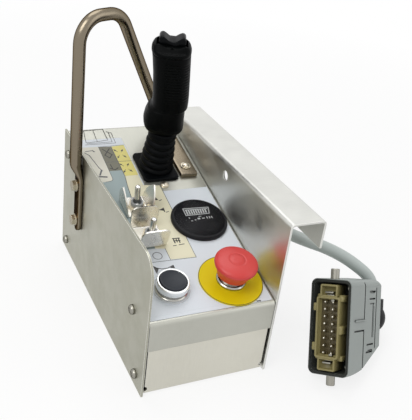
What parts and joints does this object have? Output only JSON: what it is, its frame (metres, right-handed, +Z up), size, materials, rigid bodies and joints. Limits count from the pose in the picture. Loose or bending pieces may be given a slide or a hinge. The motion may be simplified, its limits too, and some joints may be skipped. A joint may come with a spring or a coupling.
{
  "type": "joystick control box",
  "caption": "Folded steel control box with a booted joystick under a bent tube guard, guarded toggles, stop and push buttons, a round meter, a rail hook and a corded rectangular plug.",
  "frame": {"origin": "centre of the box's flat underside, which rests on the floor", "axes": "+Z up, +Y towards the rear, -Y towards the operator, +X to the operator's right, where the rail hook is"},
  "size_m": [0.2825, 0.3201, 0.282],
  "materials": {
    "sheet": "grained stainless sheet",
    "overlay_print": "printed film",
    "zinc_steel": "zinc plated",
    "guard_steel": "polished stainless tube",
    "black_plastic": "moulded",
    "black_rubber": "moulded",
    "black_gloss": "moulded",
    "dial_print": "printed",
    "clear_glass": "clear",
    "yellow_print": "printed",
    "chrome_trim": "bright plated",
    "red_plastic": "moulded",
    "green_plastic": "moulded",
    "guard_sheet": "folded sheet",
    "grey_plastic": "moulded",
    "cord_rubber": "extruded sheath",
    "grey_casting": "powder coated casting",
    "khaki_plastic": "moulded",
    "plated_pins": "plated"
  },
  "bodies": {
    "box": {"base_tray": "sheet", "left_side_plate": "sheet", "right_side_plate": "sheet", "control_panel": "sheet", "panel_overlay": "overlay_print", "side_screws": "zinc_steel", "handle_tube": "guard_steel", "handle_bolts": "zinc_steel", "handle_nuts": "zinc_steel", "foot_screws": "zinc_steel", "foot_nuts": "zinc_steel", "boot_flange": "black_plastic", "rubber_boot": "black_rubber", "housing_screws": "zinc_steel", "joystick_housing": "black_plastic", "lever_axle": "zinc_steel", "meter_case": "black_gloss", "meter_dial": "dial_print", "meter_lens": "clear_glass", "meter_ring": "black_plastic", "stop_plate": "yellow_print", "stop_collar": "chrome_trim", "stop_nut": "zinc_steel", "stop_contacts": "red_plastic", "push_bezel": "chrome_trim", "push_nut": "zinc_steel", "push_contacts": "green_plastic", "toggle1_guard": "guard_sheet", "toggle1_body": "grey_plastic", "toggle1_nut": "zinc_steel", "toggle2_guard": "guard_sheet", "toggle2_body": "grey_plastic", "toggle2_nut": "zinc_steel", "circuit_board": "green_plastic", "board_posts": "zinc_steel", "gland_body": "black_plastic", "gland_nut": "black_plastic", "cord": "cord_rubber", "plug_hood": "grey_casting", "plug_gasket": "black_rubber", "plug_insert": "khaki_plastic", "plug_pins": "plated_pins", "plug_screws": "zinc_steel", "plug_pegs": "zinc_steel", "plug_gland": "black_plastic"},
    "stick": {"lever_shaft": "zinc_steel", "centring_spring": "zinc_steel", "grip_body": "black_plastic", "grip_cap": "black_plastic", "rocker_pin": "zinc_steel", "trigger_pin": "zinc_steel", "trigger_switch": "black_plastic"},
    "rocker": {"thumb_rocker": "black_gloss"},
    "trigger": {"grip_trigger": "black_gloss"},
    "stop_plunger": {"stop_stem": "zinc_steel"},
    "stop_knob": {"stop_head": "red_plastic"},
    "push": {"push_cap": "black_gloss"},
    "toggle1_arm": {"toggle1_lever": "chrome_trim"},
    "toggle2_arm": {"toggle2_lever": "chrome_trim"}
  },
  "joints": [
    {"name": "stick_tilt", "type": "hinge", "parent": "box", "child": "stick", "pos_m": [0.0145, 0.06301, 0.10931], "axis": [1, 0, 0], "range_deg": [-15, 15], "stiffness_Nm_per_rad": 6, "springref_deg": -0.46, "deforming": ["rubber_boot"]},
    {"name": "rocker_tilt", "type": "hinge", "parent": "stick", "child": "rocker", "pos_m": [0.00971, 0.0358, 0.26112], "axis": [0.3741, 0.9151, 0.1504], "range_deg": [-12, 12], "stiffness_Nm_per_rad": 0.3},
    {"name": "trigger_pull", "type": "hinge", "parent": "stick", "child": "trigger", "pos_m": [0.01493, 0.04879, 0.24555], "axis": [-0.9259, 0.3777, 0.0049], "range_deg": [0, 6], "stiffness_Nm_per_rad": 0.3},
    {"name": "stop_press", "type": "slide", "parent": "box", "child": "stop_plunger", "axis": [0, 0.227, -0.9739], "range_m": [0, 0.004]},
    {"name": "stop_turn", "type": "hinge", "parent": "stop_plunger", "child": "stop_knob", "pos_m": [0.029, -0.10086, 0.08549], "axis": [0, -0.227, 0.9739], "range_deg": [0, 45]},
    {"name": "push_press", "type": "slide", "parent": "box", "child": "push", "axis": [0, 0.227, -0.9739], "range_m": [0, 0.003], "stiffness_N_per_m": 800},
    {"name": "toggle1_throw", "type": "hinge", "parent": "box", "child": "toggle1_arm", "pos_m": [-0.0255, 0.00364, 0.11293], "axis": [1, 0, 0], "range_deg": [0, 26]},
    {"name": "toggle2_throw", "type": "hinge", "parent": "box", "child": "toggle2_arm", "pos_m": [-0.0255, -0.03726, 0.10339], "axis": [0, 0.9739, 0.227], "range_deg": [-13, 13], "stiffness_Nm_per_rad": 0.1}
  ]
}
